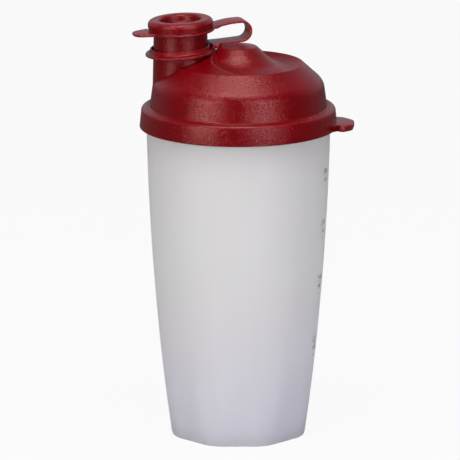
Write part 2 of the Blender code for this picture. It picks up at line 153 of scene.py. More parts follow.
class LidSizes(bpy.types.PropertyGroup):
    ledge: length("Ledge height", 157.4 * mm, "Height of the ledge round the dome")
    band_depth: length("Band depth", 9.9 * mm, "Height of the band that grips the rim")
    band_radius: length("Band radius", lid_high.y, "Outer radius of the band at its lower edge")
    band_flare: length("Band flare", 0.9 * mm, "How much wider the band is at its lower edge")
    band_wall: length("Band wall", 1.8 * mm, "Thickness of the band")
    band_round: length("Band round", 1.6 * mm, "Rounding of the band's upper edge")
    ledge_width: length("Ledge width", 3.9 * mm, "Width of the ledge")
    ledge_fall: length("Ledge fall", 0.8 * mm, "How much the ledge slopes")
    crease: length("Crease", 0.35 * mm, "Depth of the fine groove at the dome's foot")
    wall: length("Wall", 1.7 * mm, "Thickness of the dome")
    foot_lean: length("Foot lean", 1.6 * mm, "How much the dome draws in up to its shoulder")
    shoulder: length("Shoulder height", 11.6 * mm, "Height of the shoulder over the ledge")
    shoulder_round: length("Shoulder round", 8.0 * mm, "Rounding of the shoulder")
    crest_inset: length("Crest inset", 9.7 * mm, "How far the crest lies inside the shoulder")
    crest: length("Crest height", 20.4 * mm, "Height of the crest over the ledge")
    crest_round: length("Crest round", 0.6 * mm, "Rounding of the crest's edge")
    saddle_radius: length("Saddle radius", 15.3 * mm, "Radius of the slope between crest and knob")
    saddle: length("Saddle height", 24.9 * mm, "Height of the slope over the ledge")
    knob_radius: length("Knob radius", 8.6 * mm, "Radius of the knob's top")
    knob: length("Knob height", 29.1 * mm, "Height of the knob over the ledge")
    knob_crown: length("Knob crown", 0.9 * mm, "Crown of the knob's top")
    knob_flank: length("Knob flank", 2.6 * mm, "Spread of the knob's flank")
    knob_round: length("Knob round", 1.2 * mm, "Rounding of the knob's edges")
    trough: length("Trough depth", 3.8 * mm, "Depth of the trough round the knob")
    trough_rise: share("Trough rise", 0.38, "Share of the trough's width over which it deepens")
    trough_fall: share("Trough fall", 0.66, "Share of the trough's width at which it starts to come up")
    trough_full: angle("Trough full", 86, "Angle from the pull tab up to which the trough is full")
    trough_end: angle("Trough end", 158, "Angle from the pull tab at which the trough ends")
    seal_gap: length("Seal gap", 0.4 * mm, "Gap between the seal wall and the cup")
    seal_wall: length("Seal wall", 1.4 * mm, "Thickness of the seal wall")
    seal_depth: length("Seal depth", 6.4 * mm, "Depth of the seal wall under the ledge")
    seat_gap: length("Seat gap", 0.3 * mm, "Gap between the rim and the lid")
    ledge_wall: length("Ledge wall", 1.5 * mm, "Thickness of the ledge")
    tab_reach: length("Tab reach", 7.9 * mm, "How far the pull tab stands out")
    tab_turn: angle("Tab turn", -6, "How far the pull tab is turned from opposite the spout")
    tab_width: length("Tab width", 23.0 * mm, "Width of the pull tab at its root")
    tab_side: length("Tab side", 2.0 * mm, "Length of the pull tab's straight sides")
    tab_side_round: length("Tab side round", 7.0 * mm, "Rounding where the sides turn in")
    tab_tip_width: length("Tab tip width", 10.0 * mm, "Width of the pull tab's end before it is rounded")
    tab_tip_round: length("Tab tip round", 6.0 * mm, "Rounding of the pull tab's end")
    tab_thickness: length("Tab thickness", 3.1 * mm, "Thickness of the pull tab")
    tab_edge: length("Tab edge", 0.7 * mm, "Rounding of the pull tab's edges")
    around: count("Segments", 288, "Segments round the lid")
    step: length("Step", 0.9 * mm, "Longest edge down the dome")


class SpoutSizes(bpy.types.PropertyGroup):
    foot_radius: length("Foot radius", 13.296 * mm, "Radius of the spout at the ledge's height")
    top_radius: length("Top radius", 12.498 * mm, "Radius of the spout under its bead")
    wall: length("Wall", 1.35 * mm, "Thickness of the spout's wall")
    height: length("Height", 39.3 * mm, "Height of the spout over the ledge")
    inset: length("Inset", 1.2 * mm, "How far the spout stays inside the dome's foot")
    bead: length("Bead", 0.35 * mm, "How far the lip's bead stands out")
    bead_depth: length("Bead depth", 1.6 * mm, "Height of the lip's bead")
    lip_round: length("Lip round", 0.4 * mm, "Rounding of the lip")
    around: count("Segments", 120, "Segments round the spout")


class CapSizes(bpy.types.PropertyGroup):
    turn: angle("Turn", 15, "How far the cap is turned about the spout")
    tilt: angle("Tilt", 3, "How far the strap tips the cap")
    height: length("Height", 6.0 * mm, "Height of the cap")
    radius: length("Radius", 15.4 * mm, "Radius of the cap")
    roof: length("Roof", 1.1 * mm, "Thickness of the roof over the spout's lip")
    shoulder_round: length("Shoulder round", 3.3 * mm, "Rounding of the cap's upper edge")
    lip_round: length("Lip round", 1.5 * mm, "Rounding of the dish's upper edge")
    waist: length("Waist", 0.3 * mm, "How much the cap draws in above its flange")
    flange: length("Flange", 0.4 * mm, "How far the flange stands out")
    flange_thickness: length("Flange thickness", 0.9 * mm, "Thickness of the flange")
    plug_gap: length("Plug gap", 0.6 * mm, "Gap between the plug and the spout's bore")
    skirt_gap: length("Skirt gap", 0.55 * mm, "Gap between the skirt and the spout's lip")
    plug_taper: length("Plug taper", 0.5 * mm, "How much the plug narrows downwards")
    plug_round: length("Plug round", 0.8 * mm, "Rounding of the plug's lower edge")
    dish_wall: length("Dish wall", 1.35 * mm, "Thickness of the wall round the dish")
    dish_floor: length("Dish floor", 1.2 * mm, "Thickness of the dish's floor")
    dish_round: length("Dish round", 3.2 * mm, "Rounding between the dish's wall and floor")
    tab_reach: length("Tab reach", 7.5 * mm, "How far the cap's tab stands out")
    tab_width: length("Tab width", 14.6 * mm, "Width of the cap's tab")
    tab_thickness: length("Tab thickness", 1.3 * mm, "Thickness of the cap's tab")
    tab_round: length("Tab round", 6.4 * mm, "Rounding of the tab's corners")
    tab_edge: length("Tab edge", 0.4 * mm, "Rounding of the tab's edges")
    around: count("Segments", 120, "Segments round the cap")


class StrapSizes(bpy.types.PropertyGroup):
    width: length("Width", 10.0 * mm, "Width of the strap")
    thickness: length("Thickness", 1.2 * mm, "Thickness of the strap")
    edge: length("Edge round", 0.3 * mm, "Rounding of the strap's edges")
    rise: angle("Rise", 4.6, "Slope of the lower run")
    crown_radius: length("Crown radius", 40.5 * mm, "Radius of the upper run's arch")
    meet: length("Meet height", 0.8 * mm, "Height on the cap at which the strap arrives")
    past_knob: length("Past the knob", 1.7 * mm, "How far past the cup's axis the bend starts")
    root_reach: length("Root reach", 1.5 * mm, "Length of the thicker root of each run")
    flex_low: length("Lower flex", 4.3 * mm, "Height below the bend's middle over which the strap flexes")
    flex_high: length("Upper flex", 7.5 * mm, "Height above the bend's middle over which the strap flexes")
    flex_back: length("Flex back", 4.7 * mm, "How far back towards the cap the upper flex is slanted")
    step: length("Step", 0.45 * mm, "Longest stretch along the strap")
    ring_gap: length("Ring gap", 0.2 * mm, "Gap between the ring and the spout")
    ring_width: length("Ring width", 2.95 * mm, "Width of the ring")
    ring_height: length("Ring height", 3.2 * mm, "Height of the ring at its inner edge")
    ring_edge: length("Ring edge", 0.9 * mm, "Height of the ring at its outer edge")
    ring_land: length("Ring land", 0.5 * mm, "Width of the ring's flat top")
    ring_round: length("Ring round", 0.3 * mm, "Rounding of the ring's edges")
    ring_tilt: angle("Ring tilt", 4.5, "How far the strap tips the ring")
    ring_sink: length("Ring sink", 4.05 * mm, "How far the ring lies under the knob's top")


class WheelSizes(bpy.types.PropertyGroup):
    height: length("Height", 7.4 * mm, "Height of the outer band")
    wall: length("Wall", 1.5 * mm, "Thickness of the bands")
    edge: length("Edge round", 0.5 * mm, "Rounding of the bands' edges")
    band_radius: length("Band radius", 22.0 * mm, "Radius of the inner band")
    band_height: length("Band height", 4.0 * mm, "Height of the inner band")
    hub_radius: length("Hub radius", 6.5 * mm, "Radius of the hub")
    hub_height: length("Hub height", 6.8 * mm, "Height of the hub")
    hub_round: length("Hub round", 1.6 * mm, "Rounding of the hub")
    blades: count("Blades", 12, "Number of blades")
    blade_height: length("Blade height", 5.2 * mm, "Height of a blade")
    blade_thickness: length("Blade thickness", 1.2 * mm, "Thickness of a blade")
    lean: length("Lean", 3.4 * mm, "How far a blade's lower edge lies from under its upper edge")
    sweep: angle("Sweep", 34, "How far a blade turns on its way out")
    spans: count("Spans", 16, "Stretches along a blade")
    gap: length("Gap", 0.4 * mm, "Gap between the wheel and the seal wall")
    around: count("Segments", 144, "Segments round the wheel")


class Finishes(bpy.types.PropertyGroup):
    crimson: colour("Crimson", (0.080, 0.0002, 0.0014), "Colour of the lid, cap and strap")
    crimson_sheen: colour("Sheen", (1.0, 0.50, 0.48), "Tint of the light reflected by the crimson plastic")
    crimson_roughness: share("Crimson roughness", 0.165, "Roughness of the crimson plastic")
    crimson_gloss: share("Crimson gloss", 0.29, "Strength of the crimson plastic's reflections")
    grain: length("Grain", 0.9 * mm, "Size of the moulded grain")
    grain_depth: length("Grain depth", 0.32 * mm, "Depth of the moulded grain")
    # Paler spots painted on the grain's crests as glints.
    fleck_share: share("Flecks", 0.3, "Strength of the paler flecks in the grain")
    # The edges are painted paler, partly as wear and partly as the thin highlight along them.
    edge_wear: share("Edge wear", 0.6, "How much paler the edges have worn")
    crimson_worn: colour("Worn crimson", (0.26, 0.035, 0.04), "Colour of the crimson plastic's worn edges")
    milky: colour("Milky", (0.885, 0.885, 0.88), "Colour of the cup")
    # Painted shade: the cup's colour turns a little darker and cooler near the foot.
    milky_foot: colour("Milky foot", (0.88, 0.875, 0.915), "Cooler colour of the cup near its foot")
    milky_roughness: share("Milky roughness", 0.34, "Roughness of the cup")
    see_through: share("Light let through", 0.79, "Share of the light that passes the cup's wall")
    pale: colour("Pale", (0.74, 0.74, 0.72), "Colour of the mixing wheel")
    # Painted shade: the raised marks are coloured a darker grey than the wall.
    mark: colour("Mark", (0.20, 0.20, 0.22), "Colour of the scale's marks")


class StageSettings(bpy.types.PropertyGroup):
    floor: colour("Floor", (0.21, 0.21, 0.21), "Colour of the floor")
    floor_light: share("Floor light", 0.94, "How much of the floor shows as plain white to the camera")
    ambient: share("Ambient", 0.04, "Strength of the even light from in front", 5)
    backdrop: share("Backdrop", 0.50, "Strength of the light from the white backdrop", 5)
    left: power("Left lamp", 13.0, "Power of the left softbox")
    right: power("Right lamp", 11.6, "Power of the right softbox")
    top: power("Top lamp", 12.0, "Power of the overhead softbox")
    camera_distance: length("Camera distance", 2.3, "Distance from the camera to the cup's upright plane")
    camera_height: length("Camera height", 0.6477, "Height of the camera")
    camera_side: length("Camera side", 3.93 * mm, "How far left of the cup's axis the camera stands")
    camera_pitch: angle("Camera pitch", 76.544, "Angle of the camera up from straight down")
    lens: FloatProperty(name="Lens", description="Focal length on a 36 mm sensor", default=393.2)


class MixingCup(bpy.types.PropertyGroup):
    cup: PointerProperty(type=CupSizes)
    scale: PointerProperty(type=ScaleSizes)
    lid: PointerProperty(type=LidSizes)
    spout: PointerProperty(type=SpoutSizes)
    cap: PointerProperty(type=CapSizes)
    strap: PointerProperty(type=StrapSizes)
    wheel: PointerProperty(type=WheelSizes)
    finish: PointerProperty(type=Finishes)
    stage: PointerProperty(type=StageSettings)


# Shader recipes
class Wire:
    """A shader socket that takes part in sums."""

    def __init__(self, recipe, socket):
        self.recipe = recipe
        self.socket = socket

    def sum(self, operation, other):
        return self.recipe.node("ShaderNodeMath", {"operation": operation}, {0: self, 1: other})

    def __add__(self, other):
        return self.sum("ADD", other)

    def __mul__(self, other):
        return self.sum("MULTIPLY", other)

    __radd__ = __add__
    __rmul__ = __mul__


class Recipe:
    """A material or a world under construction."""

    def __init__(self, holder, target="ShaderNodeOutputMaterial"):
        self.holder = holder
        self.target = target
        holder.use_nodes = True
        self.tree = holder.node_tree
        self.tree.nodes.clear()

    def node(self, kind, settings=None, sockets=None, output=0):
        made = self.tree.nodes.new(kind)
        for name, value in (settings or {}).items():
            setattr(made, name, value)
        for name, value in (sockets or {}).items():
            if isinstance(value, Wire):
                self.tree.links.new(value.socket, made.inputs[name])
            else:
                made.inputs[name].default_value = value
        return Wire(self, made.outputs[output])

    def place(self):
        """The point on the object, in metres, which stays with the piece as it moves."""
        return self.node("ShaderNodeTexCoord", output="Object")

    def noise(self, size, detail=2, place=None, roughness=0.5):
        return self.node("ShaderNodeTexNoise", {"noise_dimensions": "3D"},
                         {"Vector": place or self.place(), "Scale": 1 / size, "Detail": detail,
                          "Roughness": roughness}, "Fac")

    def between(self, value, low, high, first=0, last=1):
        """The value carried from one span to another, and held at its ends."""
        return self.node("ShaderNodeMapRange", {"clamp": True},
                         {"Value": value, "From Min": low, "From Max": high, "To Min": first, "To Max": last})

    def mix(self, factor, first, last):
        return self.node("ShaderNodeMix", {"data_type": "RGBA"}, {"Factor": factor, 6: first, 7: last}, 2)

    def bump(self, height, distance, strength):
        return self.node("ShaderNodeBump", None,
                         {"Height": height, "Distance": distance, "Strength": strength})

    def worn_edges(self, place, size):
        """How far a point lies on an outward edge, broken up by noise, from 0 to 1. The crimson paints these
        edges paler, as wear and as a highlight.
        """
        slight, sharp = 0.515, 0.56
        edge = self.node("ShaderNodeNewGeometry", output="Pointiness")
        broken = self.between(self.noise(size, 3, place), 0.35, 0.6, 0.3, 1)
        return self.between(edge, slight, sharp) * broken

    def finish(self, shader):
        output = self.tree.nodes.new(self.target)
        self.tree.links.new(shader.socket, output.inputs["Surface"])
        return self.holder


def shade(tone, strength=1):
    """The colour as a shader takes it, made brighter or deeper by the strength."""
    return (*(Vector(tone) * strength), 1)


def crimson_plastic(look):
    """Deep crimson with a fine moulded grain, painted deeper in the grain's hollows as shade, paler on its
    crests as painted glints, and paler on its edges as wear and a painted highlight.
    """
    recipe = Recipe(bpy.data.materials.new("crimson_grained"))
    cloud_size, wear_and_highlight_size = 14 * mm, 2 * mm
    smoother, rougher = look.crimson_roughness - 0.06, look.crimson_roughness + 0.08
    place = recipe.place()
    grain = recipe.noise(look.grain, 2, place, 0.6)
    fine = recipe.noise(look.grain * 0.4, 2, place)
    clouds = recipe.between(recipe.noise(cloud_size, 2, place), 0.35, 0.7, 0, 0.5)
    # Painted shade: the grain's hollows, where the bump is low, are coloured deeper.
    shaded_pits = recipe.between(grain, 0.3, 0.5, 0.45, 0)
    # Painted glints: paler spots where the bump is high, on the grain's crests.
    glint_flecks = recipe.between(grain, 0.54, 0.74) * look.fleck_share
    # Painted highlight and wear: outward edges, found by pointiness, turn paler.
    worn_and_highlit = recipe.worn_edges(place, wear_and_highlight_size) * look.edge_wear
    tone = recipe.mix(clouds, shade(look.crimson), shade(look.crimson, 1.3))
    tone = recipe.mix(shaded_pits, tone, shade(look.crimson, 0.6))
    tone = recipe.mix(glint_flecks, tone, shade(look.crimson, 2.5))
    tone = recipe.mix(worn_and_highlit, tone, shade(look.crimson_worn))
    roughness = recipe.between(fine, *noise_span, smoother, rougher)
    normal = recipe.bump(grain * 0.7 + fine * 0.3, look.grain_depth, 1.0)
    return recipe.finish(recipe.node("ShaderNodeBsdfPrincipled", None, {
        "Base Color": tone, "Roughness": roughness, "Normal": normal, "IOR": 1.5,
        "Specular IOR Level": look.crimson_gloss, "Specular Tint": shade(look.crimson_sheen)}))


def milky_plastic(look):
    """Milky plastic that lets light through, painted a little darker and cooler towards the foot as shade, with
    faint flow lines down the wall.
    """
    recipe = Recipe(bpy.data.materials.new("milky_plastic"))
    flow_size, flow_stretch, skin_size, skin_depth = 9 * mm, 0.08, 0.5 * mm, 0.02 * mm
    foot_shade_top, foot_shade_bottom = 78 * mm, 8 * mm
    smoother, rougher = look.milky_roughness - 0.05, look.milky_roughness + 0.07
    place = recipe.place()
    height = recipe.node("ShaderNodeSeparateXYZ", None, {0: place}, "Z")
    stretched = recipe.node("ShaderNodeVectorMath", {"operation": "MULTIPLY"},
                            {0: place, 1: (1, 1, flow_stretch)})
    flow = recipe.noise(flow_size, 2, stretched)
    skin = recipe.noise(skin_size, 2, place)
    # Painted shade: the tone turns a little darker and cooler towards the foot.
    foot = recipe.between(height, foot_shade_top, foot_shade_bottom)
    tone = recipe.mix(foot, shade(look.milky), shade(look.milky_foot))
    tone = recipe.mix(recipe.between(flow, *noise_span, 0, 0.05), tone, shade(look.milky, 0.8))
    roughness = recipe.between(flow, *noise_span, smoother, rougher)
    normal = recipe.bump(skin, skin_depth, 0.35)
    front = recipe.node("ShaderNodeBsdfPrincipled", None, {
        "Base Color": tone, "Roughness": roughness, "Normal": normal, "IOR": 1.49})
    behind = recipe.node("ShaderNodeBsdfTranslucent", None, {"Color": tone, "Normal": normal})
    return recipe.finish(recipe.node("ShaderNodeMixShader", None, {0: look.see_through, 1: front, 2: behind}))


def pale_plastic(look):
    """The mixing wheel's pale satin plastic, with faint clouds and a fine skin."""
    recipe = Recipe(bpy.data.materials.new("pale_satin"))
    cloud_size, skin_size, skin_depth = 6 * mm, 0.35 * mm, 0.02 * mm
    place = recipe.place()
    clouds = recipe.between(recipe.noise(cloud_size, 3, place), *noise_span, 0, 0.5)
    skin = recipe.noise(skin_size, 2, place)
    tone = recipe.mix(clouds, shade(look.pale), shade(look.pale, 0.88))
    roughness = recipe.between(skin, *noise_span, 0.34, 0.46)
    normal = recipe.bump(skin, skin_depth, 0.4)
    return recipe.finish(recipe.node("ShaderNodeBsdfPrincipled", None, {
        "Base Color": tone, "Roughness": roughness, "Normal": normal, "IOR": 1.49}))


def mark_plastic(look):
    """The scale's raised marks, painted a darker grey than the wall as shade, because light doesn't pass them
    as easily.
    """
    recipe = Recipe(bpy.data.materials.new("scale_marks"))
    rub_size = 0.6 * mm
    rubbed = recipe.noise(rub_size, 3, recipe.place())
    # Painted shade: a dark grey tone on the marks, broken by noise towards the wall's colour.
    tone = recipe.mix(recipe.between(rubbed, 0.35, 0.7, 0, 0.6), shade(look.mark), shade(look.milky))
    roughness = recipe.between(rubbed, *noise_span, 0.35, 0.5)
    return recipe.finish(recipe.node("ShaderNodeBsdfPrincipled", None, {
        "Base Color": tone, "Roughness": roughness, "IOR": 1.49}))


# Outlines
def rounded_path(corners, closed=True, pieces=6):
    """Points through corners given as (x, z) or (x, z, radius), with each radius rounded off."""
    path = []
    total = len(corners)
    for index, corner in enumerate(corners):
        here = Vector(corner[:2])
        if len(corner) < 3 or (not closed and index in (0, total - 1)):
            path.append(here)
            continue
        back = Vector(corners[index - 1][:2]) - here
        ahead = Vector(corners[(index + 1) % total][:2]) - here
        half = back.angle(ahead) / 2
        reach = min(corner[2] / math.tan(half), back.length * corner_share, ahead.length * corner_share)
        radius = reach * math.tan(half)
        centre = here + (back.normalized() + ahead.normalized()).normalized() * radius / math.sin(half)
        start = here + back.normalized() * reach - centre
        end = here + ahead.normalized() * reach - centre
        for step in range(pieces + 1):
            part = step / pieces
            path.append(centre + (start * (1 - part) + end * part).normalized() * radius)
    return path


def with_steps(path, spacing):
    """The same path with points added so that no stretch is longer than the spacing."""
    stepped = [path[0]]
    for before, after in zip(path, path[1:]):
        pieces = max(1, math.ceil((after - before).length / spacing))
        stepped += [before.lerp(after, step / pieces) for step in range(1, pieces + 1)]
    return stepped


# Meshes
def new_object(name, data):
    made = bpy.data.objects.new(name, data)
    bpy.context.scene.collection.objects.link(made)
    return made


@contextmanager
def edited(mesh):
    """The mesh opened for a change, and closed again with its faces turned outwards."""
    form = bmesh.new()
    form.from_mesh(mesh)
    yield form
    bmesh.ops.recalc_face_normals(form, faces=form.faces)
    form.to_mesh(mesh)
    form.free()


def bake(source):
    """The object's finished mesh in place of the object and its modifiers."""
    bpy.context.view_layer.update()
    name = source.name
    finished = source.evaluated_get(bpy.context.evaluated_depsgraph_get())
    mesh = bpy.data.meshes.new_from_object(finished)
    mesh.transform(source.matrix_world)
    bpy.data.objects.remove(source, do_unlink=True)
    with edited(mesh) as form:
        bmesh.ops.remove_doubles(form, verts=form.verts, dist=weld)
    mesh.name = name
    return new_object(name, mesh)


def from_rings(name, rings, closed=False, capped=False):
    """A mesh through rings of points; a ring of one point is a pole. All longer rings have as many points."""
    points, numbers, faces = [], [], []
    for ring in rings:
        numbers.append(range(len(points), len(points) + len(ring)))
        points += ring
    pairs = list(zip(numbers, numbers[1:]))
    if closed:
        pairs.append((numbers[-1], numbers[0]))
    for upper, lower in pairs:
        for step in range(max(len(upper), len(lower))):
            after = step + 1
            face = [upper[step % len(upper)], lower[step % len(lower)], lower[after % len(lower)],
                    upper[after % len(upper)]]
            face = [number for place, number in enumerate(face) if number not in face[:place]]
            if len(face) > 2:
                faces.append(face)
    if capped:
        faces += [list(numbers[0]), list(numbers[-1])]
    mesh = bpy.data.meshes.new(name)
    mesh.from_pydata(points, [], faces)
    with edited(mesh):
        return new_object(name, mesh)


def ring_points(radius, height, around, shape=None):
    """The points of one ring, or of a pole on the axis. shape(radius, height, turn) gives the radius and the
    height where the piece isn't quite round."""
    ring = []
    for step in range(around if radius > weld else 1):
        turn = 2 * math.pi * step / around
        wide, high = shape(radius, height, turn) if shape else (radius, height)
        ring.append((wide * math.cos(turn), wide * math.sin(turn), high))
    return ring


def turned(name, outline, around, closed=False, place=None, shape=None):
    """A mesh turned about an upright axis from an outline of (radius, height), then moved to its place."""
    solid = from_rings(name, [ring_points(*point, around, shape) for point in outline], closed)
    if place:
        solid.data.transform(place)
    return solid


def slab(name, outline, thickness, edge, place, pieces=3):
    """A flat outline in X and Y made into a slab with rounded edges, centred on Z = 0."""
    middle = sum(outline, Vector((0, 0))) / len(outline)
    rings = []
    half = thickness / 2
    levels = []
    for step in range(pieces + 1):
        turn = math.pi / 2 * step / pieces
        levels.append((edge * (1 - math.sin(turn)), -half + edge * (1 - math.cos(turn))))
    levels += [(inset, -level) for inset, level in reversed(levels)]
    total = len(outline)
    for inset, level in levels:
        ring = []
        for index, point in enumerate(outline):
            along = (outline[(index + 1) % total] - outline[index - 1]).normalized()
            inwards = Vector((-along.y, along.x))
            if inwards.dot(middle - point) < 0:
                inwards = -inwards
            moved = point + inwards * inset
            ring.append((moved.x, moved.y, level))
        rings.append(ring)
    solid = from_rings(name, rings, capped=True)
    solid.data.transform(place)
    return solid


def combine(target, other, operation="UNION"):
    """The target joined with or cut by the other solid, which is used up."""
    modifier = target.modifiers.new(other.name, "BOOLEAN")
    modifier.operation = operation
    modifier.solver = "EXACT"
    modifier.object = other
    result = bake(target)
    bpy.data.objects.remove(other, do_unlink=True)
    return result


def wear(piece, material, sharp=math.radians(38)):
    """Give a piece its material and smooth shading, and move it from the cup's axis to its place."""
    piece.data.transform(cup_axis)
    piece.data.materials.clear()
    piece.data.materials.append(material)
    piece.data.shade_smooth()
    piece.data.set_sharp_from_angle(angle=sharp)
    return piece


# Cup
def round_wall(cup, height):
    """Radius of the round wall at a height."""
    part = 1 - min(1, max(0, height) / cup.height)
    return cup.foot_radius + (cup.top_radius - cup.foot_radius) * (1 - part ** cup.taper_power)


def flat_distance(cup, height):
    """Distance of the foot's flats from the axis at a height."""
    part = 1 - height / cup.facet_height
    return round_wall(cup, height) - cup.facet_depth * part * abs(part) ** 0.5


def outer_wall(cup, height, turn):
    """Radius of the outer wall, where the flats run softly into the round."""
    past_flats_share = 1.3
    round_radius = round_wall(cup, height)
    if height > cup.facet_height * past_flats_share:
        return round_radius
    spread = 2 * math.pi / cup.facets
    off = (turn + spread / 2) % spread - spread / 2
    flat = flat_distance(cup, height) / math.cos(off)
    gap = max(0, cup.facet_soft - abs(round_radius - flat)) / cup.facet_soft
    return min(round_radius, flat) - gap * gap * cup.facet_soft / 4


def inner_wall(cup, height):
    return min(round_wall(cup, height), flat_distance(cup, height)) - cup.wall


def cup_outline(cup):
    """The cup's section: from under the foot up the outside, over the rim and down the inside. Points on the
    outer wall are marked, because the flats move them."""
    ring_round, rim_foot_round, rim_round, mouth_round = 0.5 * mm, 0.4 * mm, 0.9 * mm, 0.7 * mm
    ring_land, wall_start, mouth_depth = 1 * mm, 2 * mm, 8 * mm
    outer_levels, inner_levels = 64, 40
    rim = cup.top_radius + cup.rim_overhang
    rim_foot = cup.height - cup.rim_depth
    floor_top = cup.foot_recess + cup.floor
    foot = round_wall(cup, 0)
    recess = flat_distance(cup, 0) - cup.foot_ring
    roof = (recess - cup.foot_recess, cup.foot_recess)
    bottom = rounded_path([(*roof, ring_round), (recess, 0, ring_round), (foot, 0, cup.foot_round),
                           (foot, wall_start * 2)], closed=False)[1:-1]
    under = [(Vector((0, cup.foot_recess)), 0), (Vector(roof), 0)]
    under += [(point, 0) for point in bottom if point.x <= recess + ring_land]
    outside = [(point, 1) for point in bottom if point.x > recess + ring_land]
    top = rim_foot - cup.rim_overhang
    for level in range(outer_levels + 1):
        height = wall_start + (top - wall_start) * level / outer_levels
        outside.append((Vector((round_wall(cup, height), height)), 1))
    mouth = cup.height - mouth_depth
    over = rounded_path([(round_wall(cup, top), top), (rim, rim_foot, rim_foot_round),
                         (rim, cup.height, rim_round), (cup.top_radius - cup.wall, cup.height, mouth_round),
                         (inner_wall(cup, mouth), mouth)], closed=False)[1:]
    inside = [(point, 0) for point in over]
    low = floor_top + cup.floor_round
    for level in range(1, inner_levels + 1):
        height = mouth + (low - mouth) * level / inner_levels
        inside.append((Vector((inner_wall(cup, height), height)), 0))
    floor = [tuple(inside[-1][0]), (inner_wall(cup, floor_top), floor_top, cup.floor_round), (0, floor_top)]
    inside += [(point, 0) for point in rounded_path(floor, closed=False)[1:]]
    return under + outside + inside


def build_cup(cup):
    def flattened(radius, height, turn):
        return radius + (outer_wall(cup, height, turn) - round_wall(cup, height)), height

    return from_rings("cup_body", [ring_points(*point, cup.around, flattened if outer else None)
                                   for point, outer in cup_outline(cup)])


def fill_height(cup, volume):
    """Height of the drink that has this volume, in cubic metres."""
    height = cup.foot_recess + cup.floor
    step = 0.25 * mm
    held = 0
    while held < volume:
        height += step
        held += math.pi * inner_wall(cup, height) ** 2 * step
    return height


def written(words, size, raised):
    """A mesh of the words, standing on the X axis, centred, and as thick as they are raised."""
    curve = bpy.data.curves.new("words", "FONT")
    curve.body = words
    curve.size = size
    curve.align_x = "CENTER"
    curve.extrude = raised
    curve.resolution_u = 4
    lettering = new_object("words", curve)
    bpy.context.view_layer.update()
    mesh = bpy.data.meshes.new_from_object(lettering)
    bpy.data.objects.remove(lettering, do_unlink=True)
    return mesh


def build_scale(cup, scale):
    """A raised line, unit and number for each quarter of half a litre, laid round the wall."""
    marks = bpy.data.meshes.new("scale_marks")
    with edited(marks) as form:
        for volume in (125, 250, 375, 500):
            base = fill_height(cup, volume * millilitre)
            for words, lines_up in ((str(volume), 1.5), ("ml", 0.5), ("-", -0.5)):
                mesh = written(words, scale.letter, scale.raised)
                for vertex in mesh.vertices:
                    across, up, out = vertex.co
                    height = base + scale.line * lines_up + up
                    turn = scale.turn + across / round_wall(cup, height)
                    radius = outer_wall(cup, height, turn) + out
                    vertex.co = (radius * math.cos(turn), radius * math.sin(turn), height)
                form.from_mesh(mesh)
                bpy.data.meshes.remove(mesh)
    return new_object("scale_marks", marks)


# Lid
def lid_radii(lid):
    """Radii of the dome's foot, shoulder, crest and the knob's foot."""
    foot = lid.band_radius - lid.band_flare - lid.ledge_width
    shoulder = foot - lid.foot_lean
    return foot, shoulder, shoulder - lid.crest_inset, lid.knob_radius + lid.knob_flank


def seal_radii(lid):
    """Outer and inner radius of the seal wall, which stands just inside the cup's wall."""
    band_inner = lid.band_radius - lid.band_wall
    outer = band_inner - bead_overhang - lid.seal_gap - cup_wall - lid.seal_gap
    return outer, outer - lid.seal_wall


def trough(lid, radius, turn):
    """Depth of the C-shaped trough round the knob, which narrows and fades out towards the spout."""
    _, _, crest, knob_foot = lid_radii(lid)
    turn = abs((turn + math.pi) % (2 * math.pi) - math.pi)
    fade = min(1, max(0, (turn - lid.trough_full) / (lid.trough_end - lid.trough_full)))
    width = (crest - knob_foot) * (1 - fade)
    part = (radius - knob_foot) / width if width > 0 else 0
    if not 0 < part < 1:
        return 0
    rise = math.sin(math.pi / 2 * min(1, part / lid.trough_rise))
    fall = 1 - (max(0, part - lid.trough_fall) / (1 - lid.trough_fall)) ** 2
    return lid.trough * rise * fall * math.cos(math.pi / 2 * fade)


def dome_path(lid, inset):
    """The dome from the knob's middle down to its foot, drawn in from the outer skin by the inset."""
    knob_foot_share = 2.2
    foot, shoulder, crest, knob_foot = lid_radii(lid)
    top = lid.ledge + lid.knob - inset
    path = [(0, top), (lid.knob_radius - inset, top - lid.knob_crown, lid.knob_round),
            (knob_foot - inset, lid.ledge + lid.saddle + lid.knob_crown - inset,
             lid.knob_round * knob_foot_share),
            (lid.saddle_radius - inset / 2, lid.ledge + lid.saddle - inset),
            (crest - inset / 2, lid.ledge + lid.crest - inset, lid.crest_round),
            (shoulder - inset, lid.ledge + lid.shoulder - inset / 2, lid.shoulder_round),
            (foot - inset, lid.ledge)]
    return rounded_path(path, closed=False, pieces=8)


def spout_x(lid, spout):
    return spout.foot_radius + spout.inset - lid_radii(lid)[0]


def pressed(lid):
    """How the turned dome departs from round: the trough round the knob."""
    def shape(radius, height, turn):
        if height > lid.ledge + lid.shoulder:
            height -= trough(lid, radius, turn)
        return radius, height

    return shape


